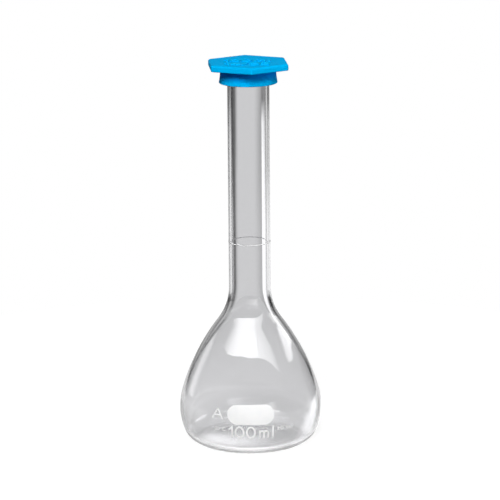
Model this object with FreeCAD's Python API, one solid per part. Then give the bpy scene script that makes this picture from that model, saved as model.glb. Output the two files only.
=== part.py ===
"""Volumetric flask of 100 ml with a moulded snap cap, in millimetres.

+Z is up, and the origin is the middle of the base, on the surface that the flask stands on. The marked
side faces -Y. The glass is one blown piece, the cap is one moulding that lifts off, and the white marks are
enamel fired onto the glass: a graduation line round the neck and a spot on the bulb to write on.
"""

import FreeCAD, Part
import math
import os

# Glass: the outside of the bulb is a chain of arcs, each tangent to the next
BULB_DIAMETER = 60.0
BELLY_RADIUS = 27.5
BELLY_RISE_DEG = 17.0
BELLY_DROP_DEG = 19.2
FLANK_RADIUS = 95.5
SHOULDER_RADIUS = 23.5
CORNER_RADIUS = 9.3
BULB_WALL = 1.35
BASE_WALL = 1.85
FOOT_WIDTH = 3.2
PUNT_HEIGHT = 1.0

# Glass: the neck and its beaded mouth
NECK_DIAMETER = 17.5
NECK_WALL = 1.4
NECK_LENGTH = 92.7
BEAD_PROUD = 1.6
BEAD_ROOT_ROUND = 0.8
MOUTH_ROUND = 0.8

# Enamel marks, which lie a hair clear of the glass
ENAMEL_CLEARANCE = 0.02
ENAMEL_THICKNESS = 0.08
LINE_WIDTH = 0.45
LINE_ABOVE_SHOULDER = 19.2
SPOT_WIDTH = 19.6
SPOT_HEIGHT = 8.3
SPOT_ABOVE_BELLY = 3.9

# Cap: hexagonal head, whose corners are rounded by both of the first two rounds
HEAD_SIDES = 6
HEAD_ACROSS_FLATS = 32.0
HEAD_THICKNESS = 2.7
HEAD_TOP_ROUND = 0.9
HEAD_TOP_CORNER_ROUND = 0.4
HEAD_UNDER_ROUND = 0.35
HEAD_TURN_DEG = 4.6

# Cap: flared collar that goes over the bead, with a snap ridge inside
COLLAR_WALL = 1.0
COLLAR_FLARE = 0.65
COLLAR_LIP_ROUND = 0.3
COLLAR_LEAD_IN = 0.35
COLLAR_BELOW_SNAP = 1.9
SNAP_CLEARANCE = 0.1
SNAP_PROUD = 0.15
SNAP_BELOW_BEAD = 0.5
SNAP_HEIGHT = 1.0

# Cap: cored plug that seals the bore
PLUG_CLEARANCE = 0.1
PLUG_LENGTH = 5.2
PLUG_BULGE = 0.25
PLUG_TIP_TAPER = 0.3
PLUG_TIP_WALL = 1.0
PLUG_TIP_ROUND = 0.4

# Sizes that follow from those above
BULB_R = BULB_DIAMETER / 2
NECK_R = NECK_DIAMETER / 2
BORE_R = NECK_R - NECK_WALL
BEAD_R = NECK_R + BEAD_PROUD
RISE = math.radians(BELLY_RISE_DEG)
DROP = math.radians(BELLY_DROP_DEG)
BELLY_Z = CORNER_RADIUS * (1 - math.sin(DROP)) + BELLY_RADIUS * math.sin(DROP)
FOOT_R = BULB_R - BELLY_RADIUS * (1 - math.cos(DROP)) - CORNER_RADIUS * math.cos(DROP)
PUNT_R = FOOT_R - FOOT_WIDTH

FULL_TURN_DEG = 360
UP = FreeCAD.Vector(0, 0, 1)
AXIS_START = FreeCAD.Vector(0, 0, 0)
LEVEL_TOLERANCE = 1e-6


def at(radius, height):
    """A point of the section plane."""
    return FreeCAD.Vector(radius, 0, height)


def line(start, end):
    return Part.LineSegment(start, end).toShape()


def arc(start, middle, end):
    return Part.Arc(start, middle, end).toShape()


def round_arc(centre, radius, start_angle, end_angle):
    """An arc of the section plane about a centre, its angles in radians from the outward direction."""
    angles = (start_angle, (start_angle + end_angle) / 2, end_angle)
    return arc(*[centre + at(radius * math.cos(a), radius * math.sin(a)) for a in angles])


def ends(edge):
    return edge.valueAt(edge.FirstParameter), edge.valueAt(edge.LastParameter)


def joined(edges):
    """The edges with a straight edge wherever one ends away from the next one's start, closed at the end."""
    whole = []
    for edge, following in zip(edges, edges[1:] + edges[:1]):
        whole.append(edge)
        finish, start = ends(edge)[1], ends(following)[0]
        if finish.distanceToPoint(start) > LEVEL_TOLERANCE:
            whole.append(line(finish, start))
    return whole


def turned(edges):
    """The solid that the closed section sweeps round the axis."""
    return Part.Face(Part.Wire(joined(edges))).revolve(AXIS_START, UP, FULL_TURN_DEG)


def walked_back(arcs):
    """The same path of arcs, walked the other way."""
    back = []
    for edge in reversed(arcs):
        start, finish = ends(edge)
        middle = edge.valueAt((edge.FirstParameter + edge.LastParameter) / 2)
        back.append(arc(finish, middle, start))
    return back


# Glass vessel


def bulb_wall(inset, neck_radius, corner_radius):
    """The bulb from foot to neck, inset from the outside: corner, belly, flank and shoulder arcs."""
    belly_centre = at(BULB_R - BELLY_RADIUS, BELLY_Z)
    belly_r = BELLY_RADIUS - inset
    flank_r = FLANK_RADIUS - inset
    shoulder_r = SHOULDER_RADIUS + inset
    rise_way = at(math.cos(RISE), math.sin(RISE))
    drop_way = at(math.cos(DROP), -math.sin(DROP))
    corner_centre = belly_centre + drop_way * (belly_r - corner_radius)
    flank_centre = belly_centre - rise_way * (flank_r - belly_r)
    lean = math.acos((neck_radius + shoulder_r - flank_centre.x) / (flank_r + shoulder_r))
    shoulder_centre = flank_centre + at(math.cos(lean), math.sin(lean)) * (flank_r + shoulder_r)
    return [
        round_arc(corner_centre, corner_radius, -math.pi / 2, -DROP),
        round_arc(belly_centre, belly_r, -DROP, RISE),
        round_arc(flank_centre, flank_r, RISE, lean),
        round_arc(shoulder_centre, shoulder_r, math.pi + lean, math.pi),
    ]


def punt(height):
    """The pushed-up middle of the base, from the axis out to the foot."""
    dome_r = (PUNT_R**2 + PUNT_HEIGHT**2) / (2 * PUNT_HEIGHT)
    dome_centre = at(0, height + PUNT_HEIGHT - dome_r)
    edge_angle = math.acos(PUNT_R / dome_r)
    return round_arc(dome_centre, dome_r, math.pi / 2, edge_angle)


OUTER_BULB = bulb_wall(0, NECK_R, CORNER_RADIUS)
INNER_CORNER_R = (BELLY_Z - BASE_WALL - (BELLY_RADIUS - BULB_WALL) * math.sin(DROP)) / (1 - math.sin(DROP))
INNER_BULB = bulb_wall(BULB_WALL, BORE_R, INNER_CORNER_R)
SHOULDER_Z = ends(OUTER_BULB[-1])[1].z
RIM_Z = SHOULDER_Z + NECK_LENGTH
LINE_Z = SHOULDER_Z + LINE_ABOVE_SHOULDER
SPOT_Z = BELLY_Z + SPOT_ABOVE_BELLY


def mouth():
    """The bead outside the mouth, its flat land and the rounded edge of the bore."""
    bead_centre = at(NECK_R, RIM_Z - BEAD_PROUD)
    reach = BEAD_PROUD + BEAD_ROOT_ROUND
    below = math.sqrt(reach**2 - BEAD_ROOT_ROUND**2)
    root_centre = bead_centre + at(BEAD_ROOT_ROUND, -below)
    meet = math.atan2(below, -BEAD_ROOT_ROUND)
    lip_centre = at(BORE_R + MOUTH_ROUND, RIM_Z - MOUTH_ROUND)
    return [
        round_arc(root_centre, BEAD_ROOT_ROUND, math.pi, meet),
        round_arc(bead_centre, BEAD_PROUD, meet - math.pi, math.pi / 2),
        round_arc(lip_centre, MOUTH_ROUND, math.pi / 2, math.pi),
    ]


def glass_flask():
    """The blown vessel, outside first and then back down its inside."""
    outside = [punt(0), *OUTER_BULB, *mouth()]
    inside = walked_back([punt(BASE_WALL), *INNER_BULB])
    return turned(outside + inside)


def contained_volume_ml():
    """What the flask holds up to its graduation line."""
    top = line(at(BORE_R, LINE_Z), at(0, LINE_Z))
    return turned([punt(BASE_WALL), *INNER_BULB, top]).Volume / 1000


# Enamel marks


def graduation_line():
    """A band of enamel round the neck."""
    low = at(0, LINE_Z - LINE_WIDTH / 2)
    inner_r = NECK_R + ENAMEL_CLEARANCE
    band = Part.makeCylinder(inner_r + ENAMEL_THICKNESS, LINE_WIDTH, low)
    return band.cut(Part.makeCylinder(inner_r, LINE_WIDTH, low))


def spot_outline():
    """The spot's outline as a face behind the bulb's front: straight top and bottom with half-round ends."""
    half_height = SPOT_HEIGHT / 2
    reach = SPOT_WIDTH / 2 - half_height
    right = at(reach, SPOT_Z)
    left = at(-reach, SPOT_Z)
    ends_round = [
        round_arc(right, half_height, -math.pi / 2, math.pi / 2),
        round_arc(left, half_height, math.pi / 2, 3 * math.pi / 2),
    ]
    return Part.Face(Part.Wire(joined(ends_round)))


def swollen_bulb(proud):
    """A solid bulb whose skin stands proud of the glass."""
    wall = bulb_wall(-proud, NECK_R + proud, CORNER_RADIUS + proud)
    axis = line(at(0, SHOULDER_Z), at(0, -proud))
    return turned([*wall, axis])


def marking_spot():
    """A patch of enamel that follows the bulb: a skin over the glass, cut to the spot's outline."""
    front = spot_outline().extrude(FreeCAD.Vector(0, -BULB_DIAMETER, 0))
    outer = swollen_bulb(ENAMEL_CLEARANCE + ENAMEL_THICKNESS)
    return front.common(outer).cut(swollen_bulb(ENAMEL_CLEARANCE))


# Snap cap


def level_edges(solid, height):
    """The edges that lie at one height."""
    return [
        e
        for e in solid.Edges
        if abs(e.BoundBox.ZMin - height) < LEVEL_TOLERANCE and abs(e.BoundBox.ZMax - height) < LEVEL_TOLERANCE
    ]


def cap_head():
    """The hexagonal head, with rounded corners and edges."""
    corner_r = HEAD_ACROSS_FLATS / 2 / math.cos(math.pi / HEAD_SIDES)
    front = math.radians(HEAD_TURN_DEG) - math.pi / 2
    angles = [front + k * 2 * math.pi / HEAD_SIDES for k in range(HEAD_SIDES)]
    corners = [FreeCAD.Vector(corner_r * math.cos(a), corner_r * math.sin(a), RIM_Z) for a in angles]
    head = Part.Face(Part.makePolygon(corners + corners[:1])).extrude(UP * HEAD_THICKNESS)
    upright = [e for e in head.Edges if e.BoundBox.ZLength > HEAD_THICKNESS / 2]
    head = head.makeFillet(HEAD_TOP_ROUND + HEAD_TOP_CORNER_ROUND, upright)
    head = head.makeFillet(HEAD_TOP_ROUND, level_edges(head, RIM_Z + HEAD_THICKNESS))
    return head.makeFillet(HEAD_UNDER_ROUND, level_edges(head, RIM_Z))


def cap_collar():
    """The flared skirt round the bead, with a low ridge inside that sits under the bead."""
    ridge_r = BEAD_R + SNAP_CLEARANCE
    inner = ridge_r + SNAP_PROUD
    outer = inner + COLLAR_WALL
    ridge_z = RIM_Z - 2 * BEAD_PROUD - SNAP_BELOW_BEAD
    ridge_low = at(inner, ridge_z - SNAP_HEIGHT / 2)
    ridge_high = at(inner, ridge_z + SNAP_HEIGHT / 2)
    bottom = ridge_low.z - COLLAR_BELOW_SNAP
    depth = RIM_Z - bottom
    flare_r = (depth**2 + COLLAR_FLARE**2) / (2 * COLLAR_FLARE)
    flare_turn = math.asin(depth / flare_r)
    lip_r = outer + COLLAR_FLARE
    flare = round_arc(at(outer + flare_r, RIM_Z), flare_r, math.pi, math.pi + flare_turn)
    lead_in = line(at(inner + COLLAR_LEAD_IN, bottom), at(inner, bottom + 2 * COLLAR_LEAD_IN))
    ridge = arc(ridge_low, at(ridge_r, ridge_z), ridge_high)
    ceiling = line(at(inner, RIM_Z), at(outer, RIM_Z))
    collar = turned([flare, lead_in, ridge, ceiling])
    lip = [e for e in level_edges(collar, bottom) if abs(e.Curve.Radius - lip_r) < LEVEL_TOLERANCE]
    return collar.makeFillet(COLLAR_LIP_ROUND, lip)


def cap_plug():
    """The hollow plug: a barrel that is fullest where it seals, open below."""
    seal_r = BORE_R - PLUG_CLEARANCE
    root_r = seal_r - PLUG_BULGE
    tip_r = root_r - PLUG_TIP_TAPER
    core_r = tip_r - PLUG_TIP_WALL
    tip_round = min(PLUG_TIP_ROUND, PLUG_TIP_WALL / 2)
    bottom = RIM_Z - PLUG_LENGTH
    tip_centre = at(tip_r - tip_round, bottom + tip_round)
    barrel = arc(at(root_r, RIM_Z), at(seal_r, RIM_Z - PLUG_LENGTH / 2), at(tip_r, tip_centre.z))
    tip = round_arc(tip_centre, tip_round, 0, -math.pi / 2)
    core = line(at(core_r, bottom), at(core_r, RIM_Z))
    return turned([barrel, tip, core])


def snap_cap():
    """Head, collar and plug as one moulding."""
    return cap_head().fuse([cap_collar(), cap_plug()]).removeSplitter().Solids[0]


PIECES = {
    "glass_flask": glass_flask,
    "graduation_line": graduation_line,
    "marking_spot": marking_spot,
    "snap_cap": snap_cap,
}


def main():
    os.makedirs("parts", exist_ok=True)
    for name, make in PIECES.items():
        shape = make()
        shape.exportStep(f"parts/{name}.step")
        box = shape.optimalBoundingBox(False, False)
        size = f"{box.XLength:.2f} x {box.YLength:.2f} x {box.ZLength:.2f} mm"
        print(f"{name}: {len(shape.Solids)} solid, valid {shape.isValid()}, {shape.Volume:.1f} mm3, {size}")
    print(f"holds {contained_volume_ml():.2f} ml up to the line at {LINE_Z:.2f} mm, mouth at {RIM_Z:.2f} mm")


main()
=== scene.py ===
"""The volumetric flask dressed for its picture: clear glass, white fired enamel and a blue moulded cap.

Everything is in metres in the frame of the solids: +Z up, the base at z = 0, the marked front towards -Y.
"""

import math

import bmesh
import bpy
from mathutils import Matrix, Vector
from mathutils.geometry import delaunay_2d_cdt


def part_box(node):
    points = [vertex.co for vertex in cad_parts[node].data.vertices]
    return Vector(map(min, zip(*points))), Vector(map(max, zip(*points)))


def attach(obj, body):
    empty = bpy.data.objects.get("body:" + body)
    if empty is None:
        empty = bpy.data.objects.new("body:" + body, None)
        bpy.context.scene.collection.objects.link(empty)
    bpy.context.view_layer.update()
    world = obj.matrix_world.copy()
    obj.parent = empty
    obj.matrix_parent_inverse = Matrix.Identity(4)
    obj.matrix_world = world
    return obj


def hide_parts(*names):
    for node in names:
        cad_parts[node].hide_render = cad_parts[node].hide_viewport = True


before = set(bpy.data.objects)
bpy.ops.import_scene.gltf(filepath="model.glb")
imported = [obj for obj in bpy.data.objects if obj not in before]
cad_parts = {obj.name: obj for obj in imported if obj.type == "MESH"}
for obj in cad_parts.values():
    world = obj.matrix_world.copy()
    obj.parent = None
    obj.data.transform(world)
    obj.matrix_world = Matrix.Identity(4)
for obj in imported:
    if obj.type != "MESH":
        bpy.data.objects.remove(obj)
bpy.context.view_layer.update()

MM = 0.001

# How finely curves are drawn
ARC_TURN = math.radians(5)
ARC_STEP = 1.2 * MM
BOW_PARTS = 8
GLASS_SEGMENTS = 192
GLASS_STEP = 1.5 * MM
CAP_STEP = 1.0 * MM
CAP_SIDE_PARTS = 12
SPOT_GRID = 0.6 * MM
PEN_TURN = 15
FLOOR_SEGMENTS = 128
SAME_PLACE = 1e-7
WELD = 1e-8

# Glass, as the solids have it
BULB_R = 30.0 * MM
BELLY_R = 27.5 * MM
BELLY_RISE = math.radians(17.0)
BELLY_DROP = math.radians(19.2)
FLANK_R = 95.5 * MM
SHOULDER_R = 23.5 * MM
CORNER_R = 9.3 * MM
BULB_WALL = 1.35 * MM
BASE_WALL = 1.85 * MM
FOOT_WIDTH = 3.2 * MM
PUNT_HEIGHT = 1.0 * MM
NECK_R = 8.75 * MM
BORE_R = 7.35 * MM
BEAD_PROUD = 1.6 * MM
BEAD_ROOT_ROUND = 0.8 * MM
MOUTH_ROUND = 0.8 * MM
RIM_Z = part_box("glass_flask")[1].z
BELLY_Z = CORNER_R * (1 - math.sin(BELLY_DROP)) + BELLY_R * math.sin(BELLY_DROP)
FOOT_R = BULB_R - BELLY_R * (1 - math.cos(BELLY_DROP)) - CORNER_R * math.cos(BELLY_DROP)
PUNT_R = FOOT_R - FOOT_WIDTH

# Enamel, as the solids have it: a hair clear of the glass. Only the line is drawn narrower than its solid
ENAMEL_GAP = 0.02 * MM
ENAMEL_TOP = 0.1 * MM
LINE_LOW, LINE_HIGH = (corner.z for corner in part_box("graduation_line"))
LINE_WIDTH = 0.3 * MM
LINE_EDGE = 0.7 * ENAMEL_TOP
SPOT_LOW, SPOT_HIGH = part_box("marking_spot")

# Printed figures in mm: text, height, pen width, then the middle's place across and up from the belly's front
PRINTED = {
    "figures_capacity": ("100 ml", 4.65, 0.8, 0.1, -3.6),
    "figures_class": ("A", 4.3, 0.6, -14.5, 4.0),
    "figures_warmth": ("20 °C", 1.5, 0.25, -13.6, -2.6),
    "figures_error": ("±0.1 ml", 1.7, 0.25, 14.8, -2.3),
}
TAIL_STROKE = [Vector((-1.5 * MM, 0.25 * MM)), Vector((1.5 * MM, -0.25 * MM))]
TAIL_PEN = 0.4 * MM
TAIL_AT = (10.7 * MM, 5.1 * MM)

# Cap, as the solids have it
CAP_FLATS = 32.0 * MM
CAP_TOP_ROUND = 0.9 * MM
CAP_CORNER_ROUND = 1.3 * MM
CAP_UNDER_ROUND = 0.35 * MM
CAP_TURN = 4.6
CAP_FRONT = math.radians(CAP_TURN - 90)
CAP_BOTTOM, CAP_TOP = (corner.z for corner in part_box("snap_cap"))
COLLAR_R = 11.6 * MM
COLLAR_WALL = 1.0 * MM
COLLAR_FLARE = 0.65 * MM
COLLAR_LIP_ROUND = 0.3 * MM
COLLAR_LEAD_IN = 0.35 * MM
SNAP_PROUD = 0.15 * MM
SNAP_HEIGHT = 1.0 * MM
SNAP_ABOVE_LIP = 1.9 * MM
PLUG_SEAL_R = BORE_R - 0.1 * MM
PLUG_ROOT_R = PLUG_SEAL_R - 0.25 * MM
PLUG_TIP_R = PLUG_ROOT_R - 0.3 * MM
PLUG_CORE_R = PLUG_TIP_R - 1.0 * MM
PLUG_LENGTH = 5.2 * MM
PLUG_TIP_ROUND = 0.4 * MM

# Rings of the cap's skin: on the flat top and down the side, as shares, and on the underside by the collar
TOP_RINGS = (0.4, 0.8, 0.97)
SIDE_RINGS = (0.15, 0.85)
UNDERSIDE_RING_R = COLLAR_R + 0.3 * MM

# Raised figures on the cap: text and the place of its middle along Y
RAISED_TEXTS = {"raised_capacity": ("100 ml", 1.6 * MM), "raised_size": ("14/23", -7.6 * MM)}
RAISED = 0.4 * MM
RAISED_SUNK = 0.05 * MM
RAISED_HEIGHT = 4.6 * MM
RAISED_PEN = 0.9 * MM
RAISED_ACROSS = -0.5 * MM

# Colours: single ones, or the darker and paler end of a blend
GLASS_TINT = (0.925, 0.925, 0.935)
ENAMEL_TINTS = (0.90, 0.905, 0.91), (0.93, 0.93, 0.93)
PLASTIC_TINTS = (0.0, 0.40, 0.80), (0.0, 0.42, 0.84)
# Painted shade: the deeper blue of the collar under the head
COLLAR_PAINTED_SHADE = (0.0, 0.25, 0.82)
# Painted highlight: the paler blue of the raised figures
RAISED_PAINTED_HIGHLIGHT = (0.0, 0.5, 0.9)
PLASTIC_SHEEN = (0.0, 0.45, 0.9)
FLOOR_TINTS = (0.27, 0.27, 0.27), (0.29, 0.29, 0.29)

# Heights between which a look changes: the foot's wear, the collar's painted shade below the head and above
# the lip, and the raised figures' painted highlight
FOOT_WEAR_FROM, FOOT_WEAR_TO = 4 * MM, 0.5 * MM
HEAD_FROM, HEAD_TO = RIM_Z + 0.3 * MM, RIM_Z
LIP_FROM, LIP_TO = CAP_BOTTOM + 0.5 * MM, RIM_Z - 1.5 * MM
RAISED_FROM, RAISED_TO = CAP_TOP + 0.1 * MM, CAP_TOP + RAISED

# Camera of the photograph
CAMERA_AT = Vector((0.0002, -1.1705, 0.3525))
CAMERA_PITCH = math.radians(12.98)
CAMERA_ROLL = math.radians(-0.45)
CAMERA_LENS_MM = 205.9

# Floor. A spot has its middle, turn in degrees, half sizes, the share of them that fades, and strength
FLOOR_R = 0.25
FLOOR_Z = -0.05 * MM
FLOOR_THICK = 0.01
FLOOR_GLOW = 1.0
FLOOR_SHADE = ((0, 0), 0, (0.24, 0.24), 0.6, -0.13)
FLOOR_GLOW_IN_GLASS = 0.6
# Painted light and painted shade on the floor, seen only in glass and gloss: a bright streak, a crescent and
# glows in place of the light that the flask throws, and darker patches
FLOOR_SPOTS = (
    ((0.0314, 0.027), -14, (0.0066, 0.057), 0.6, 0.68),  # streak behind the right side
    ((0.037, 0.054), -8, (0.009, 0.018), 0.7, 0.3),  # its wider far end
    ((0.062, 0.045), -20, (0.016, 0.07), 0.5, -0.25),  # shade beside the streak
    ((-0.05, 0.03), 12.5, (0.025, 0.07), 0.5, -0.22),  # shade behind the left side
    ((-0.010, -0.006), 0, (0.020, 0.012), 0.8, 0.7),  # light under the base
    ((-0.016, 0.0), 0, (0.007, 0.009), 0.8, 0.5),  # its brightest part
    ((0, 0), 0, (0.035, 0.035), 0.8, 0.12),  # faint light all round the base
    ((-0.004, -0.026), 0, (0.04, 0.012), 1.0, 0.25),  # faint light before the foot
    ((0, -0.15), 0, (0.25, 0.14), 0.6, -0.25),  # shade on the floor in front
    ((0, 0), 0, (0.0238, 0.0238), 0.1, 1.1),  # with the next one, a crescent under the front of the foot
    ((0, 0.0013), 0, (0.0238, 0.0225), 0.1, -1.1),  # takes away all but the crescent
)

# Studio: greys are by elevation in degrees
AIM = Vector((0, 0, 0.08))
PANEL_DISTANCE = 4.0
ROOM_GREYS = ((-9, 0.69), (-5, 0.62), (1, 0.36), (35, 0.22))
SOFT_GREYS = ((-10, 0.06), (10, 0.12), (60, 0.26))
KEY_AT = (-0.2, -1.0, 0.92)
KEY_SIZE = 0.5
KEY_WATTS = 17.6
FILL_AT = (0.9, -0.35, 0.25)
FILL_SIZE = 0.4
FILL_WATTS = 2.5


# Outlines in the plane of the axis, as points (radius, height)


def arc(centre, radius, start, end):
    """Points of an arc, close enough for its size."""
    turn = abs(end - start)
    steps = max(math.ceil(turn / ARC_TURN), math.ceil(turn * radius / ARC_STEP), 2)
    angles = [start + (end - start) * k / steps for k in range(steps + 1)]
    return [Vector((centre[0] + radius * math.cos(a), centre[1] + radius * math.sin(a))) for a in angles]


def bow(start, middle, end):
    """Points of a shallow curve through three points."""
    parts = [k / BOW_PARTS for k in range(BOW_PARTS + 1)]
    return [start * (1 - t) * (1 - 2 * t) + middle * 4 * t * (1 - t) + end * t * (2 * t - 1) for t in parts]


def filled(points, step):
    """The outline with more points wherever two lie further apart than the step, and no point twice."""
    result = [points[0]]
    for point in points[1:]:
        last = result[-1]
        gap = (point - last).length
        if gap < SAME_PLACE:
            continue
        pieces = math.ceil(gap / step)
        result += [last.lerp(point, k / pieces) for k in range(1, pieces + 1)]
    return result


def bulb_wall(inset, neck_r, corner_r):
    """The bulb from its foot up to the neck: four arcs, each tangent to the next."""
    belly_centre = Vector((BULB_R - BELLY_R, BELLY_Z))
    belly_r = BELLY_R - inset
    flank_r = FLANK_R - inset
    shoulder_r = SHOULDER_R + inset
    rise_way = Vector((math.cos(BELLY_RISE), math.sin(BELLY_RISE)))
    drop_way = Vector((math.cos(BELLY_DROP), -math.sin(BELLY_DROP)))
    corner_centre = belly_centre + drop_way * (belly_r - corner_r)
    flank_centre = belly_centre - rise_way * (flank_r - belly_r)
    lean = math.acos((neck_r + shoulder_r - flank_centre.x) / (flank_r + shoulder_r))
    shoulder_centre = flank_centre + Vector((math.cos(lean), math.sin(lean))) * (flank_r + shoulder_r)
    return (
        arc(corner_centre, corner_r, -math.pi / 2, -BELLY_DROP)
        + arc(belly_centre, belly_r, -BELLY_DROP, BELLY_RISE)
        + arc(flank_centre, flank_r, BELLY_RISE, lean)
        + arc(shoulder_centre, shoulder_r, math.pi + lean, math.pi)
    )


def punt(height):
    """The pushed-up middle of the base, from the axis out to the foot."""
    dome_r = (PUNT_R**2 + PUNT_HEIGHT**2) / (2 * PUNT_HEIGHT)
    return arc((0, height + PUNT_HEIGHT - dome_r), dome_r, math.pi / 2, math.acos(PUNT_R / dome_r))


def mouth():
    """The bead outside the mouth, its flat land and the rounded edge of the bore."""
    bead_centre = Vector((NECK_R, RIM_Z - BEAD_PROUD))
    reach = BEAD_PROUD + BEAD_ROOT_ROUND
    below = math.sqrt(reach**2 - BEAD_ROOT_ROUND**2)
    meet = math.atan2(below, -BEAD_ROOT_ROUND)
    return (
        arc(bead_centre + Vector((BEAD_ROOT_ROUND, -below)), BEAD_ROOT_ROUND, math.pi, meet)
        + arc(bead_centre, BEAD_PROUD, meet - math.pi, math.pi / 2)
        + arc((BORE_R + MOUTH_ROUND, RIM_Z - MOUTH_ROUND), MOUTH_ROUND, math.pi / 2, math.pi)
    )


def glass_outline():
    """The whole wall of the vessel: up its outside from the axis to the mouth, then down its inside."""
    drop = math.sin(BELLY_DROP)
    inner_corner_r = (BELLY_Z - BASE_WALL - (BELLY_R - BULB_WALL) * drop) / (1 - drop)
    outside = punt(0) + bulb_wall(0, NECK_R, CORNER_R) + mouth()
    inside = punt(BASE_WALL) + bulb_wall(BULB_WALL, BORE_R, inner_corner_r)
    return filled(outside + inside[::-1], GLASS_STEP)


def skirt_outline():
    """The cap below its head: flared collar, snap ridge inside it, and the hollow plug in to the axis."""
    inner = COLLAR_R - COLLAR_WALL
    depth = RIM_Z - CAP_BOTTOM
    flare_r = (depth**2 + COLLAR_FLARE**2) / (2 * COLLAR_FLARE)
    flare_turn = math.asin((depth - COLLAR_LIP_ROUND) / flare_r)
    flare = arc((COLLAR_R + flare_r, RIM_Z), flare_r, math.pi, math.pi + flare_turn)
    lip = arc(flare[-1] - Vector((COLLAR_LIP_ROUND, 0)), COLLAR_LIP_ROUND, 0, -math.pi / 2)
    lead_in = [Vector((inner + COLLAR_LEAD_IN, CAP_BOTTOM)), Vector((inner, CAP_BOTTOM + 2 * COLLAR_LEAD_IN))]
    ridge_low = Vector((inner, CAP_BOTTOM + SNAP_ABOVE_LIP))
    ridge_high = ridge_low + Vector((0, SNAP_HEIGHT))
    ridge_top = (ridge_low + ridge_high) / 2 - Vector((SNAP_PROUD, 0))
    collar = flare + lip + lead_in + bow(ridge_low, ridge_top, ridge_high)
    plug_bottom = RIM_Z - PLUG_LENGTH
    tip_centre = Vector((PLUG_TIP_R - PLUG_TIP_ROUND, plug_bottom + PLUG_TIP_ROUND))
    barrel_middle = Vector((PLUG_SEAL_R, RIM_Z - PLUG_LENGTH / 2))
    barrel = bow(Vector((PLUG_ROOT_R, RIM_Z)), barrel_middle, Vector((PLUG_TIP_R, tip_centre.y)))
    tip = arc(tip_centre, PLUG_TIP_ROUND, 0, -math.pi / 2)
    core = [Vector((PLUG_CORE_R, plug_bottom)), Vector((PLUG_CORE_R, RIM_Z)), Vector((0, RIM_Z))]
    ceiling = [Vector((inner, RIM_Z))]
    return filled(collar + ceiling + barrel + tip + core, CAP_STEP)


# Meshes


def mesh_object(name, vertices, faces, smooth=True):
    """A closed mesh as an object, with its faces turned outwards."""
    mesh = bpy.data.meshes.new(name)
    mesh.from_pydata([tuple(v) for v in vertices], [], faces)
    turned = bmesh.new()
    turned.from_mesh(mesh)
    bmesh.ops.recalc_face_normals(turned, faces=turned.faces)
    turned.to_mesh(mesh)
    turned.free()
    mesh.polygons.foreach_set("use_smooth", [smooth] * len(mesh.polygons))
    piece = bpy.data.objects.new(name, mesh)
    bpy.context.scene.collection.objects.link(piece)
    return piece


def stacked(name, rings, closed=False):
    """A skin over rings of equally many points, where a ring of one point is a pole.

    A closed stack ends where it began.
    """
    vertices = []
    starts = []
    for ring in rings:
        starts.append(len(vertices))
        vertices += ring
    count = max(len(ring) for ring in rings)
    faces = []
    following = list(range(1, len(rings))) + ([0] if closed else [])
    for low, high in zip(range(len(rings)), following):
        for k in range(count):
            after = (k + 1) % count
            a, b = (starts[low] + i % len(rings[low]) for i in (k, after))
            d, c = (starts[high] + i % len(rings[high]) for i in (k, after))
            faces.append(list(dict.fromkeys((a, b, c, d))))
    return mesh_object(name, vertices, faces)


def circle(radius, height, angles):
    """A ring of points at one height, or one point on the axis."""
    if radius < SAME_PLACE:
        return [Vector((0, 0, height))]
    return [Vector((radius * math.cos(a), radius * math.sin(a), height)) for a in angles]


def lathe(name, outline, segments, closed=False):
    """An outline turned round the axis."""
    angles = [2 * math.pi * k / segments for k in range(segments)]
    return stacked(name, [circle(p.x, p.y, angles) for p in outline], closed)


def layer(name, flat, place, low, high):
    """A thin closed layer over flat triangles, put in place by a function of (x, y, height)."""
    points, triangles = flat
    count = len(points)
    vertices = [place(p.x, p.y, high) for p in points] + [place(p.x, p.y, low) for p in points]
    faces = []
    edges = set()
    for face in triangles:
        faces.append(face)
        faces.append([count + i for i in reversed(face)])
        edges.update(zip(face, face[1:] + face[:1]))
    for a, b in sorted(edges):
        if (b, a) not in edges:
            faces.append((b, a, count + a, count + b))
    return mesh_object(name, vertices, faces, smooth=False)


# Pen strokes of the figures: a width and its strokes, in units of the figure's height


def oval(x, y, width, height, start=0, end=360):
    """Points of a pen stroke round part of an oval, by its middle and its half sizes."""
    steps = math.ceil(abs(end - start) / PEN_TURN)
    angles = [math.radians(start + (end - start) * k / steps) for k in range(steps + 1)]
    return [(x + width * math.cos(a), y + height * math.sin(a)) for a in angles]


FIGURES = {
    "0": (0.74, [oval(0.37, 0.5, 0.37, 0.5)]),
    "1": (0.27, [[(0, 0.76), (0.27, 1), (0.27, 0)]]),
    "2": (0.64, [oval(0.32, 0.68, 0.32, 0.32, 165, -35) + [(0, 0), (0.64, 0)]]),
    "3": (0.62, [oval(0.3, 0.74, 0.27, 0.26, 150, -90) + oval(0.3, 0.24, 0.32, 0.24, 75, -150)]),
    "4": (0.68, [[(0.5, 0), (0.5, 1), (0, 0.3), (0.68, 0.3)]]),
    "A": (1.05, [[(0, 0), (0.525, 1), (1.05, 0)], [(0.2, 0.36), (0.85, 0.36)]]),
    "C": (0.72, [oval(0.42, 0.5, 0.42, 0.5, 45, 315)]),
    "l": (0.14, [[(0.14, 0), (0.14, 1)]]),
    "m": (
        0.785,
        [
            [(0, 0), (0, 0.62)],
            oval(0.196, 0.41, 0.196, 0.21, 180, 0) + [(0.392, 0)],
            oval(0.588, 0.41, 0.196, 0.21, 180, 0) + [(0.785, 0)],
        ],
    ),
    "°": (0.28, [oval(0.14, 0.86, 0.14, 0.14)]),
    "±": (0.6, [[(0, 0.6), (0.6, 0.6)], [(0.3, 0.3), (0.3, 0.9)], [(0, 0.1), (0.6, 0.1)]]),
    "/": (0.44, [[(0, 0), (0.44, 1)]]),
    ".": (0.02, [[(0, 0), (0.02, 0)]]),
}
LETTER_GAP = 0.3
WORD_GAP = 0.13
DOT_POINTS = 12
DOT_ANGLES = [2 * math.pi * k / DOT_POINTS for k in range(DOT_POINTS)]


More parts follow.
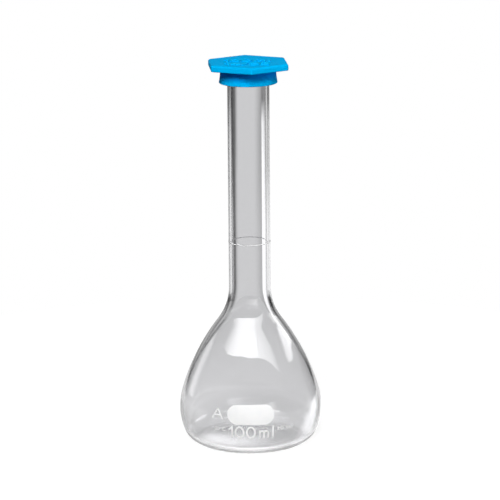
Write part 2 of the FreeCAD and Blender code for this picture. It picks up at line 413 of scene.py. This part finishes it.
def written(text, height):
    """The pen strokes of a line of text round its own middle."""
    strokes = []
    across = 0
    for letter in text:
        if letter == " ":
            across += WORD_GAP
            continue
        width, pen = FIGURES[letter]
        strokes += [[Vector((across + x, y)) for x, y in stroke] for stroke in pen]
        across += width + LETTER_GAP
    middle = Vector((across - LETTER_GAP, 1)) / 2
    return [[(p - middle) * height for p in stroke] for stroke in strokes]


def inked(strokes, pen_width):
    """The flat points and triangles that a round pen covers along the strokes."""
    points = []
    faces = []
    half = pen_width / 2
    for stroke in strokes:
        shapes = [[p + Vector((half * math.cos(a), half * math.sin(a))) for a in DOT_ANGLES] for p in stroke]
        for start, end in zip(stroke, stroke[1:]):
            side = (end - start).orthogonal().normalized() * half
            shapes.append([start - side, end - side, end + side, start + side])
        for shape in shapes:
            faces.append(list(range(len(points), len(points) + len(shape))))
            points += shape
    points, _, triangles, _, _, sources = delaunay_2d_cdt(points, [], faces, 0, WELD)
    inside = [face for face, source in zip(triangles, sources) if source]
    used = sorted({i for face in inside for i in face})
    place = {old: new for new, old in enumerate(used)}
    return [points[i] for i in used], [[place[i] for i in face] for face in inside]


# Materials


def new_material(name):
    """A material with its node tree and shader."""
    material = bpy.data.materials.new(name)
    material.use_nodes = True
    tree = material.node_tree
    return material, tree, tree.nodes["Principled BSDF"]


def add_noise(tree, scale, detail, stretch=(1, 1, 1)):
    """Noise in the object's own space, in cells per metre, stretched along the axes."""
    place = tree.nodes.new("ShaderNodeTexCoord")
    mapping = tree.nodes.new("ShaderNodeMapping")
    mapping.inputs["Scale"].default_value = stretch
    noise = tree.nodes.new("ShaderNodeTexNoise")
    noise.inputs["Scale"].default_value = scale
    noise.inputs["Detail"].default_value = detail
    tree.links.new(place.outputs["Object"], mapping.inputs["Vector"])
    tree.links.new(mapping.outputs["Vector"], noise.inputs["Vector"])
    return noise.outputs["Fac"]


def add_bump(tree, shader, height, distance, strength):
    """Small hills and hollows in the shader's surface, by a value for their height."""
    bump = tree.nodes.new("ShaderNodeBump")
    bump.inputs["Distance"].default_value = distance
    bump.inputs["Strength"].default_value = strength
    tree.links.new(height, bump.inputs["Height"])
    tree.links.new(bump.outputs["Normal"], shader.inputs["Normal"])


def add_range(tree, value, low, high):
    """The value from 0 to 1 spread over a range."""
    spread = tree.nodes.new("ShaderNodeMapRange")
    spread.inputs["To Min"].default_value = low
    spread.inputs["To Max"].default_value = high
    tree.links.new(value, spread.inputs["Value"])
    return spread.outputs["Result"]


def add_blend(tree, value, low_colour, high_colour):
    """A colour between two, by the middle of a value from 0 to 1."""
    ramp = tree.nodes.new("ShaderNodeValToRGB")
    ramp.color_ramp.elements[0].position = 0.3
    ramp.color_ramp.elements[1].position = 0.7
    ramp.color_ramp.elements[0].color = (*low_colour, 1)
    ramp.color_ramp.elements[1].color = (*high_colour, 1)
    tree.links.new(value, ramp.inputs["Fac"])
    return ramp.outputs["Color"]


def add_tint(tree, share, colour, tint):
    """A colour that goes over to a plain tint as the share goes from 0 to 1."""
    node = tree.nodes.new("ShaderNodeMix")
    node.data_type = "RGBA"
    node.inputs["B"].default_value = (*tint, 1)
    tree.links.new(share, node.inputs["Factor"])
    tree.links.new(colour, node.inputs["A"])
    return node.outputs["Result"]


def add_math(tree, operation, first, second):
    """Two values joined by an operation. The second is an output or a plain number."""
    node = tree.nodes.new("ShaderNodeMath")
    node.operation = operation
    tree.links.new(first, node.inputs[0])
    if isinstance(second, float):
        node.inputs[1].default_value = second
    else:
        tree.links.new(second, node.inputs[1])
    return node.outputs["Value"]


def add_height_mask(tree, start, end):
    """A value that goes smoothly from 0 at one height of the object to 1 at another."""
    place = tree.nodes.new("ShaderNodeTexCoord")
    split = tree.nodes.new("ShaderNodeSeparateXYZ")
    spread = tree.nodes.new("ShaderNodeMapRange")
    spread.interpolation_type = "SMOOTHSTEP"
    spread.inputs["From Min"].default_value = start
    spread.inputs["From Max"].default_value = end
    tree.links.new(place.outputs["Object"], split.inputs["Vector"])
    tree.links.new(split.outputs["Z"], spread.inputs["Value"])
    return spread.outputs["Result"]


def glass_material():
    """Clear glass: faint waves from drawing and blowing, and a foot worn by benches."""
    material, tree, shader = new_material("clear_glass_look")
    shader.inputs["Base Color"].default_value = (*GLASS_TINT, 1)
    shader.inputs["Transmission Weight"].default_value = 1
    shader.inputs["IOR"].default_value = 1.473
    smudge = add_range(tree, add_noise(tree, scale=60, detail=3), low=0.0, high=0.012)
    worn = add_range(tree, add_height_mask(tree, FOOT_WEAR_FROM, FOOT_WEAR_TO), low=0.0, high=0.25)
    tree.links.new(add_math(tree, "ADD", smudge, worn), shader.inputs["Roughness"])
    waves = add_noise(tree, scale=160, detail=1, stretch=(1, 1, 0.25))
    add_bump(tree, shader, waves, distance=0.02 * MM, strength=0.15)
    return material


def enamel_material():
    """White fired enamel: a low gloss, with slight clouds in its thickness."""
    material, tree, shader = new_material("white_enamel_look")
    clouds = add_noise(tree, scale=400, detail=3)
    tree.links.new(add_blend(tree, clouds, *ENAMEL_TINTS), shader.inputs["Base Color"])
    tree.links.new(add_range(tree, clouds, low=0.3, high=0.45), shader.inputs["Roughness"])
    shader.inputs["Subsurface Weight"].default_value = 0.8
    shader.inputs["Subsurface Radius"].default_value = (1, 1, 1)
    shader.inputs["Subsurface Scale"].default_value = 0.12 * MM
    add_bump(tree, shader, add_noise(tree, scale=2500, detail=2), distance=0.02 * MM, strength=0.3)
    return material


def plastic_material():
    """Bright blue plastic with a satin moulded skin, with painted shade that makes the collar a deeper blue
    and a painted highlight that makes the raised figures paler.
    """
    material, tree, shader = new_material("blue_plastic_look")
    flow = add_noise(tree, scale=220, detail=3)
    tint = add_blend(tree, flow, *PLASTIC_TINTS)
    below_head = add_height_mask(tree, HEAD_FROM, HEAD_TO)
    above_lip = add_height_mask(tree, LIP_FROM, LIP_TO)
    # Painted shade: the collar under the head, down to its lit lip, goes over to a deeper blue
    tint = add_tint(tree, add_math(tree, "MULTIPLY", below_head, above_lip), tint, COLLAR_PAINTED_SHADE)
    # Painted highlight: the raised figures go over to a paler blue
    tint = add_tint(tree, add_height_mask(tree, RAISED_FROM, RAISED_TO), tint, RAISED_PAINTED_HIGHLIGHT)
    tree.links.new(tint, shader.inputs["Base Color"])
    tree.links.new(add_range(tree, flow, low=0.45, high=0.55), shader.inputs["Roughness"])
    shader.inputs["Specular IOR Level"].default_value = 0.004
    shader.inputs["Specular Tint"].default_value = (*PLASTIC_SHEEN, 1)
    add_bump(tree, shader, add_noise(tree, scale=3000, detail=2), distance=0.02 * MM, strength=0.25)
    return material


def finished(piece, material, body, *nodes):
    """Gives a piece its material, body and slot, and hides the solids that it stands for."""
    piece.data.materials.append(material)
    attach(piece, body)
    if nodes:
        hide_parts(*nodes)


# Glass vessel and its enamel


def glass_flask():
    """The vessel: its wall's whole outline, turned."""
    piece = lathe("blown_flask", glass_outline(), GLASS_SEGMENTS)
    finished(piece, glass_material(), "flask", "glass_flask")


def belly_point(across, up, out):
    """A point over the belly, with across and up measured along the glass from the front of its girth."""
    rise = up / BELLY_R
    turn = across / BULB_R
    reach = BULB_R - BELLY_R + (BELLY_R + out) * math.cos(rise)
    height = BELLY_Z + (BELLY_R + out) * math.sin(rise)
    return Vector((reach * math.sin(turn), -reach * math.cos(turn), height))


def seen_point(across, height, out):
    """A point over the belly, by where it is seen from straight in front."""
    rise = math.asin((height - BELLY_Z) / BELLY_R)
    girth = BULB_R - BELLY_R + BELLY_R * math.cos(rise)
    return belly_point(BULB_R * math.asin(across / girth), BELLY_R * rise, out)


def graduation_line(enamel):
    """The line round the neck, a little thinner at its edges than in its middle."""
    middle = (LINE_LOW + LINE_HIGH) / 2
    low = middle - LINE_WIDTH / 2
    high = middle + LINE_WIDTH / 2
    outline = [
        Vector((NECK_R + ENAMEL_GAP, low)),
        Vector((NECK_R + LINE_EDGE, low)),
        Vector((NECK_R + ENAMEL_TOP, middle)),
        Vector((NECK_R + LINE_EDGE, high)),
        Vector((NECK_R + ENAMEL_GAP, high)),
    ]
    finished(lathe("enamel_line", outline, GLASS_SEGMENTS, closed=True), enamel, "flask", "graduation_line")


def marking_spot(enamel):
    """The writing spot: straight edges above and below, half-round ends."""
    half_height = (SPOT_HIGH.z - SPOT_LOW.z) / 2
    middle = (SPOT_HIGH.z + SPOT_LOW.z) / 2
    reach = SPOT_HIGH.x - half_height
    ends = arc((reach, middle), half_height, -math.pi / 2, math.pi / 2)
    ends += arc((-reach, middle), half_height, math.pi / 2, 3 * math.pi / 2)
    edge = filled(ends + ends[:1], SPOT_GRID)[:-1]
    columns = int(SPOT_HIGH.x / SPOT_GRID)
    rows = int(half_height / SPOT_GRID)
    inside = [
        Vector((i * SPOT_GRID, middle + j * SPOT_GRID))
        for i in range(-columns, columns + 1)
        for j in range(-rows, rows + 1)
        if Vector((max(abs(i * SPOT_GRID) - reach, 0), j * SPOT_GRID)).length < half_height - SPOT_GRID / 2
    ]
    points, _, triangles, *_ = delaunay_2d_cdt(edge + inside, [], [list(range(len(edge)))], 1, WELD)
    piece = layer("enamel_spot", (points, triangles), seen_point, ENAMEL_GAP, ENAMEL_TOP)
    finished(piece, enamel, "flask", "marking_spot")


def printed(name, enamel, strokes, pen_width, across, up):
    """Enamel figures on the belly, by the place of their middle."""

    def place(x, y, out):
        return belly_point(across + x, up + y, out)

    finished(layer(name, inked(strokes, pen_width), place, ENAMEL_GAP, ENAMEL_TOP), enamel, "flask")


def printed_figures(enamel):
    """The figures on the belly and the short tail beside the spot."""
    for name, (text, *sizes) in PRINTED.items():
        height, pen_width, across, up = (size * MM for size in sizes)
        printed(name, enamel, written(text, height), pen_width, across, up)
    printed("spot_tail", enamel, [TAIL_STROKE], TAIL_PEN, *TAIL_AT)


# Cap: turns across a rounded corner of the head, and over a rounded edge

CAP_CORNER_ANGLES = [math.radians(7.5 * k - 30) for k in range(9)]
QUARTER = [math.radians(15 * k) for k in range(7)]


def hexagon(inset, height):
    """A ring round the head with its sides moved in by the inset."""
    corner_r = CAP_CORNER_ROUND - inset
    centre_r = (CAP_FLATS / 2 - CAP_CORNER_ROUND) / math.cos(math.pi / 6)
    corners = []
    for k in range(6):
        way = CAP_FRONT + k * math.pi / 3
        centre = Vector((math.cos(way), math.sin(way))) * centre_r
        corners.append(
            [centre + Vector((math.cos(way + a), math.sin(way + a))) * corner_r for a in CAP_CORNER_ANGLES]
        )
    ring = []
    for corner, following in zip(corners, corners[1:] + corners[:1]):
        ring += corner + [corner[-1].lerp(following[0], k / CAP_SIDE_PARTS) for k in range(1, CAP_SIDE_PARTS)]
    return [Vector((*p, height)) for p in ring]


def snap_cap(plastic):
    """Head, collar and plug in one skin."""
    angles = [math.atan2(p.y, p.x) for p in hexagon(0, 0)]
    flat_top = hexagon(CAP_TOP_ROUND, CAP_TOP)
    side_top = CAP_TOP - CAP_TOP_ROUND
    side_bottom = RIM_Z + CAP_UNDER_ROUND
    rings = [circle(0, CAP_TOP, angles)]
    rings += [[Vector((p.x * part, p.y * part, CAP_TOP)) for p in flat_top] for part in TOP_RINGS]
    for a in QUARTER:
        inset = CAP_TOP_ROUND * (1 - math.sin(a))
        rings.append(hexagon(inset, side_top + CAP_TOP_ROUND * math.cos(a)))
    rings += [hexagon(0, side_top + (side_bottom - side_top) * part) for part in SIDE_RINGS]
    for a in QUARTER:
        inset = CAP_UNDER_ROUND * (1 - math.cos(a))
        rings.append(hexagon(inset, side_bottom - CAP_UNDER_ROUND * math.sin(a)))
    rings.append(circle(UNDERSIDE_RING_R, RIM_Z, angles))
    rings += [circle(p.x, p.y, angles) for p in skirt_outline()]
    finished(stacked("moulded_cap", rings), plastic, "cap", "snap_cap")


def raised(name, plastic, text, along):
    """Raised figures on the head, by the place of their middle."""

    def place(x, y, out):
        return Vector((RAISED_ACROSS + x, along + y, CAP_TOP + out))

    flat = inked(written(text, RAISED_HEIGHT), RAISED_PEN)
    finished(layer(name, flat, place, -RAISED_SUNK, RAISED), plastic, "cap")


def raised_figures(plastic):
    """Plain numbers on the head: the capacity above, the size of the mouth below."""
    for name, (text, along) in RAISED_TEXTS.items():
        raised(name, plastic, text, along)


# Stage


def add_spot(tree, middle, turn, size, edge, strength):
    """A value for a soft oval spot, which fades from its strength to 0 over the outer share of its size."""
    place = tree.nodes.new("ShaderNodeTexCoord")
    mapping = tree.nodes.new("ShaderNodeMapping")
    mapping.vector_type = "TEXTURE"
    mapping.inputs["Location"].default_value = (*middle, 0)
    mapping.inputs["Rotation"].default_value = (0, 0, math.radians(turn))
    mapping.inputs["Scale"].default_value = (*size, 1)
    gradient = tree.nodes.new("ShaderNodeTexGradient")
    gradient.gradient_type = "SPHERICAL"
    tree.links.new(place.outputs["Object"], mapping.inputs["Vector"])
    tree.links.new(mapping.outputs["Vector"], gradient.inputs["Vector"])
    spread = tree.nodes.new("ShaderNodeMapRange")
    spread.inputs["From Max"].default_value = edge
    spread.inputs["To Max"].default_value = strength
    tree.links.new(gradient.outputs["Fac"], spread.inputs["Value"])
    return spread.outputs["Result"]


def floor():
    """Pale matt floor: white with a faint shadow, and in glass it glows with painted light and painted shade
    in place of the light that the flask throws.
    """
    material, tree, shader = new_material("floor")
    grain = add_noise(tree, scale=30, detail=2)
    tree.links.new(add_blend(tree, grain, *FLOOR_TINTS), shader.inputs["Base Color"])
    shader.inputs["Roughness"].default_value = 0.9
    shader.inputs["Specular IOR Level"].default_value = 0
    shader.inputs["Emission Color"].default_value = (1, 1, 1, 1)
    path = tree.nodes.new("ShaderNodeLightPath")
    mirrored = add_math(tree, "MAXIMUM", path.outputs["Is Glossy Ray"], path.outputs["Is Transmission Ray"])
    through = add_math(tree, "MULTIPLY", mirrored, FLOOR_GLOW_IN_GLASS)
    # Painted light and painted shade: each spot adds to or takes from the glow that glass and gloss see
    for spot in FLOOR_SPOTS:
        thrown = add_math(tree, "MULTIPLY", mirrored, add_spot(tree, *spot))
        through = add_math(tree, "ADD", through, thrown)
    white = add_math(tree, "ADD", add_spot(tree, *FLOOR_SHADE), FLOOR_GLOW)
    seen = add_math(tree, "MULTIPLY", path.outputs["Is Camera Ray"], white)
    tree.links.new(add_math(tree, "ADD", seen, through), shader.inputs["Emission Strength"])
    under = FLOOR_Z - FLOOR_THICK
    edge = [Vector((0, FLOOR_Z)), Vector((FLOOR_R, FLOOR_Z)), Vector((FLOOR_R, under)), Vector((0, under))]
    piece = lathe("floor", edge, FLOOR_SEGMENTS)
    piece.data.materials.append(material)


def panel(name, columns):
    """A studio softbox or dark card that shows only in glass and gloss.

    Each column is an azimuth and its brightness at some elevations, lowest first, as seen from AIM.
    Azimuth 0 is behind the flask and 90 is to its right.
    """
    vertices = []
    glow = []
    for azimuth, levels in columns:
        turn = math.radians(azimuth)
        for elevation, brightness in levels:
            rise = math.radians(elevation)
            way = Vector((math.sin(turn) * math.cos(rise), math.cos(turn) * math.cos(rise), math.sin(rise)))
            vertices.append(AIM + way * PANEL_DISTANCE)
            glow.append(brightness)
    tall = len(columns[0][1])
    corners = [column * tall + row for column in range(len(columns) - 1) for row in range(tall - 1)]
    mesh = bpy.data.meshes.new(name)
    mesh.from_pydata(vertices, [], [(k, k + tall, k + tall + 1, k + 1) for k in corners])
    mesh.attributes.new("glow", "FLOAT", "POINT").data.foreach_set("value", glow)
    material, tree, shader = new_material(name)
    attribute = tree.nodes.new("ShaderNodeAttribute")
    attribute.attribute_name = "glow"
    shader.inputs["Base Color"].default_value = (0, 0, 0, 1)
    shader.inputs["Specular IOR Level"].default_value = 0
    shader.inputs["Emission Color"].default_value = (1, 1, 1, 1)
    tree.links.new(attribute.outputs["Fac"], shader.inputs["Emission Strength"])
    mesh.materials.append(material)
    piece = bpy.data.objects.new(name, mesh)
    piece.visible_camera = False
    piece.visible_diffuse = False
    piece.visible_shadow = False
    bpy.context.scene.collection.objects.link(piece)


def even(rows):
    """Panel columns from rows of (azimuth, lowest elevation, highest elevation, brightness)."""
    return [(azimuth, ((low, glow), (high, glow))) for azimuth, low, high, glow in rows]


def graded(elevations, rows):
    """Panel columns from rows of (azimuth, brightness at each of the elevations)."""
    return [(azimuth, tuple(zip(elevations, glows))) for azimuth, *glows in rows]


def softboxes():
    """Bright panels: the window in front and overhead, its dimmer side, and softboxes round the flask."""
    panel("window", even((
        (-98, 34, 66, 0.4), (-107, 35, 68, 2.4), (-118, 36, 70, 4.2), (-131, 38, 72, 6.2),
        (-142, 40, 74, 6.8), (-176, 41.5, 76, 6.8), (-202, 41, 76, 6.8),
    )))
    panel("window_side", even((
        (158, 41, 70, 5), (139, 37, 62, 4), (128, 33, 54, 3.4), (120, 28, 45, 2.6), (114, 26, 36, 0.6),
    )))
    panel("softbox_right", even((
        (45, 12, 18, 2), (52, 13.5, 22, 3.8), (60, 16.5, 26, 3.8), (68, 17, 29, 3.8),
        (75, 18, 29.5, 3.6), (82, 20, 27.5, 3.2), (87, 22, 25, 2.5),
    )))
    panel("softbox_left", even((
        (-48, -2, 17, 0.4), (-54, -1, 19, 1.6), (-63, 0, 19, 1.6), (-69, 1, 18, 0.4),
    )))
    panel("softbox_back", even((
        (-75, 52, 80, 1), (-60, 48, 82, 4), (60, 48, 82, 4), (75, 52, 80, 1),
    )))
    panel("softbox_front", even((
        (136, 4, 15, 0.8), (144, 4, 16, 2.6), (160, 4, 16, 2), (200, 4, 15, 0.5),
    )))


def cards():
    """Panels low behind the flask, which draw the dark and bright lines along its edges."""
    panel("card_left", graded((-16, -12.2, -11, -10, -8.7, -7.2), (
        (-5.5, 0.69, 0.69, 0.69, 0.69, 0.69, 0.69),
        (-7.5, 0.6, 0.58, 0.56, 0.45, 0.4, 0.66),
        (-9.2, 0.42, 0.38, 0.3, 0.14, 0.1, 0.6),
        (-11.3, 0.07, 0.06, 0.04, 0.03, 0.02, 0.4),
        (-14.5, 0.06, 0.06, 0.02, 0.01, 0.01, 0.3),
        (-20, 0.4, 0.34, 0.1, 0.01, 0.01, 0.15),
        (-26, 0.8, 0.7, 0.3, 0.05, 0.02, 0.15),
        (-29, 1.0, 0.95, 0.8, 0.7, 0.2, 0.1),
        (-36, 1.0, 1.0, 0.95, 0.9, 0.25, 0.1),
        (-46, 1.0, 1.0, 0.95, 0.9, 0.3, 0.15),
    )))
    panel("card_side", even((
        (-46, -16, -7, 0.9), (-50.5, -16, -7, 0.05), (-58, -16, -7, 0.01),
        (-74, -16, -7, 0.01), (-80, -16, -7, 0.3), (-86, -16, -7, 0.65),
    )))
    panel("card_right", graded((-16, -12.2, -10.6, -9.6, -9, -6), (
        (2, 0.69, 0.69, 0.69, 0.69, 0.69, 0.64),
        (6, 0.5, 0.5, 0.4, 0.4, 0.42, 0.64),
        (8, 0.5, 0.5, 0.42, 0.42, 0.3, 0.6),
        (8.8, 1.4, 1.4, 1.4, 1.2, 0.2, 0.6),
        (15.5, 1.4, 1.4, 1.3, 1.0, 0.2, 0.6),
        (18, 1.2, 1.1, 0.6, 0.5, 0.2, 0.5),
        (22, 0.95, 0.9, 0.52, 0.4, 0.1, 0.15),
        (26, 0.8, 0.65, 0.3, 0.2, 0.05, 0.1),
        (33, 0.8, 0.65, 0.3, 0.3, 0.1, 0.03),
        (38, 1.1, 1.05, 0.6, 0.65, 0.5, 0.03),
        (46, 1.15, 1.15, 0.7, 0.8, 0.75, 0.1),
    )))
    panel("flag_right", graded((-6, -2, 1, 9), (
        (14, 0.6, 0.5, 0.35, 0.3),
        (20, 0.3, 0.45, 0.25, 0.25),
        (28, 0.08, 0.42, 0.2, 0.25),
        (32, 0.03, 0.05, 0.1, 0.2),
        (44, 0.03, 0.03, 0.03, 0.03),
        (60, 0.2, 0.1, 0.03, 0.03),
        (66, 0.6, 0.5, 0.36, 0.3),
    )))
    panel("flag_left", graded((-7.2, -4.5, -1, 3, 9), (
        (-14, 0.6, 0.6, 0.45, 0.35, 0.3),
        (-20, 0.15, 0.5, 0.45, 0.3, 0.3),
        (-26, 0.15, 0.5, 0.45, 0.28, 0.28),
        (-31, 0.1, 0.1, 0.2, 0.25, 0.25),
        (-36, 0.1, 0.06, 0.05, 0.15, 0.2),
        (-46, 0.15, 0.1, 0.05, 0.1, 0.2),
        (-49, 0.5, 0.4, 0.3, 0.3, 0.3),
    )))


def by_elevation(tree, stops):
    """A grey of the sky that changes with the elevation, by stops of (degrees, grey)."""
    place = tree.nodes.new("ShaderNodeTexCoord")
    split = tree.nodes.new("ShaderNodeSeparateXYZ")
    spread = tree.nodes.new("ShaderNodeMapRange")
    spread.inputs["From Min"].default_value = -1
    ramp = tree.nodes.new("ShaderNodeValToRGB")
    elements = ramp.color_ramp.elements
    while len(elements) < len(stops):
        elements.new(0.5)
    for element, (elevation, grey) in zip(elements, stops):
        element.position = (math.sin(math.radians(elevation)) + 1) / 2
        element.color = (grey, grey, grey, 1)
    tree.links.new(place.outputs["Generated"], split.inputs["Vector"])
    tree.links.new(split.outputs["Z"], spread.inputs["Value"])
    tree.links.new(spread.outputs["Result"], ramp.inputs["Fac"])
    return ramp.outputs["Color"]


def studio():
    """A white background, a dimmer room above it in glass and gloss, and even soft light on matt surfaces."""
    world = bpy.data.worlds.new("studio")
    world.use_nodes = True
    tree = world.node_tree
    bpy.context.scene.world = world
    path = tree.nodes.new("ShaderNodeLightPath")
    white = tree.nodes["Background"]
    white.inputs["Color"].default_value = (1, 1, 1, 1)
    room = tree.nodes.new("ShaderNodeBackground")
    tree.links.new(by_elevation(tree, ROOM_GREYS), room.inputs["Color"])
    soft = tree.nodes.new("ShaderNodeBackground")
    tree.links.new(by_elevation(tree, SOFT_GREYS), soft.inputs["Color"])
    mirrored = add_math(tree, "MAXIMUM", path.outputs["Is Glossy Ray"], path.outputs["Is Transmission Ray"])
    inner = tree.nodes.new("ShaderNodeMixShader")
    outer = tree.nodes.new("ShaderNodeMixShader")
    tree.links.new(mirrored, inner.inputs["Fac"])
    tree.links.new(soft.outputs["Background"], inner.inputs[1])
    tree.links.new(room.outputs["Background"], inner.inputs[2])
    tree.links.new(path.outputs["Is Camera Ray"], outer.inputs["Fac"])
    tree.links.new(inner.outputs["Shader"], outer.inputs[1])
    tree.links.new(white.outputs["Background"], outer.inputs[2])
    tree.links.new(outer.outputs["Shader"], tree.nodes["World Output"].inputs["Surface"])


def lamp(name, place, size, watts):
    """A square lamp turned to the flask, which shows in no glass or gloss."""
    light = bpy.data.lights.new(name, "AREA")
    light.shape = "SQUARE"
    light.size = size
    light.energy = watts
    piece = bpy.data.objects.new(name, light)
    piece.location = place
    piece.rotation_euler = (AIM - Vector(place)).to_track_quat("-Z", "Y").to_euler()
    piece.visible_glossy = False
    piece.visible_transmission = False
    bpy.context.scene.collection.objects.link(piece)


def camera():
    """The camera of the photograph."""
    data = bpy.data.cameras.new("photo_camera")
    data.lens = CAMERA_LENS_MM
    piece = bpy.data.objects.new("photo_camera", data)
    level = Matrix.Rotation(math.pi / 2 - CAMERA_PITCH, 4, "X")
    piece.matrix_world = Matrix.Translation(CAMERA_AT) @ level @ Matrix.Rotation(CAMERA_ROLL, 4, "Z")
    bpy.context.scene.collection.objects.link(piece)
    bpy.context.scene.camera = piece


ENAMEL = enamel_material()
PLASTIC = plastic_material()
glass_flask()
graduation_line(ENAMEL)
marking_spot(ENAMEL)
printed_figures(ENAMEL)
snap_cap(PLASTIC)
raised_figures(PLASTIC)

floor()
softboxes()
cards()
studio()
lamp("key", KEY_AT, KEY_SIZE, KEY_WATTS)
lamp("fill", FILL_AT, FILL_SIZE, FILL_WATTS)
camera()
bpy.context.scene.view_settings.view_transform = "Standard"
